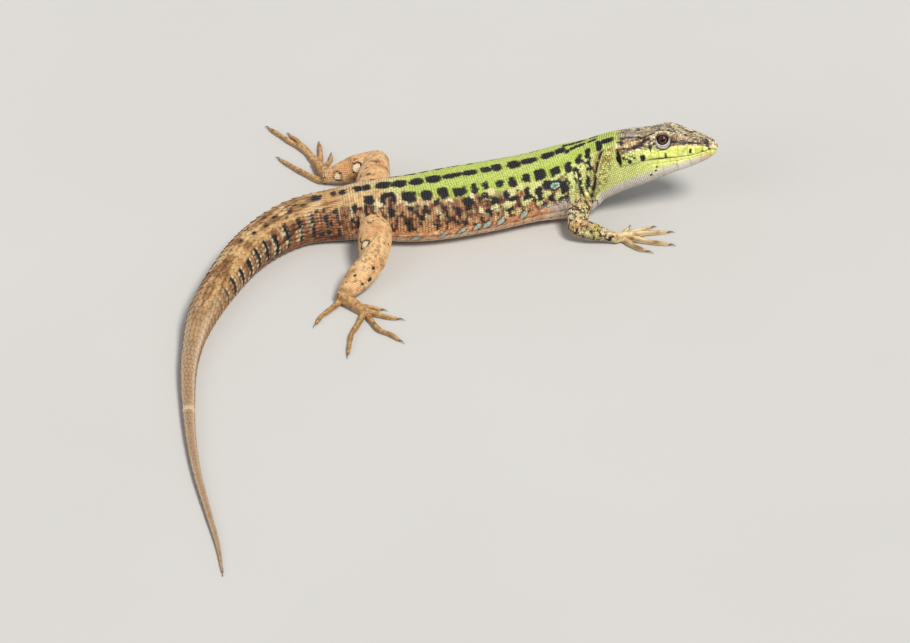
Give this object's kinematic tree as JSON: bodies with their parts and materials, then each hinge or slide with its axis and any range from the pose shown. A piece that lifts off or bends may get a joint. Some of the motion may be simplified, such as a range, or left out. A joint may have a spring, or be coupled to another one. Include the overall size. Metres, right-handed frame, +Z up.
{
  "type": "wall lizard model",
  "caption": "Life-size wall lizard lying on its belly with the head raised, the legs spread to each side and a long tapering tail swung round to its right.",
  "frame": {"origin": "centre of the whole model's box in plan, at floor level under the flat of the belly", "axes": "+X the way the trunk points, towards the head, +Y the animal's left and the longest side of the box, +Z up from the floor and the shortest side"},
  "size_m": [0.1298, 0.1574, 0.021],
  "materials": {
    "crown": "scaly, satin",
    "jaw": "scaly, satin",
    "neck": "scaly, satin",
    "back": "scaly, satin",
    "flank": "scaly, satin",
    "tail": "scaly, satin",
    "leg": "scaly, satin",
    "eye": "wet gloss",
    "ear": "dull",
    "claw": "horny, semi-gloss"
  },
  "bodies": {
    "root": {"head": "crown", "jaw": "jaw", "eye_left": "eye", "eye_right": "eye", "ear_left": "ear", "ear_right": "ear", "neck": "neck", "chest": "back", "belly": "flank", "hips": "flank", "tail_1": "tail", "tail_2": "tail", "tail_3": "tail", "tail_4": "tail", "tail_5": "tail", "tail_6": "tail", "tail_7": "tail", "foreleg_left_upper": "leg", "foreleg_left_lower": "leg", "foreleg_left_foot": "leg", "foreleg_left_claw_1": "claw", "foreleg_left_claw_2": "claw", "foreleg_left_claw_3": "claw", "foreleg_left_claw_4": "claw", "foreleg_left_claw_5": "claw", "foreleg_right_upper": "leg", "foreleg_right_lower": "leg", "foreleg_right_foot": "leg", "foreleg_right_claw_1": "claw", "foreleg_right_claw_2": "claw", "foreleg_right_claw_3": "claw", "foreleg_right_claw_4": "claw", "foreleg_right_claw_5": "claw", "hindleg_left_upper": "leg", "hindleg_left_lower": "leg", "hindleg_left_foot": "leg", "hindleg_left_claw_1": "claw", "hindleg_left_claw_2": "claw", "hindleg_left_claw_3": "claw", "hindleg_left_claw_4": "claw", "hindleg_left_claw_5": "claw", "hindleg_right_upper": "leg", "hindleg_right_lower": "leg", "hindleg_right_foot": "leg", "hindleg_right_claw_1": "claw", "hindleg_right_claw_2": "claw", "hindleg_right_claw_3": "claw", "hindleg_right_claw_4": "claw", "hindleg_right_claw_5": "claw"}
  },
  "joints": []
}
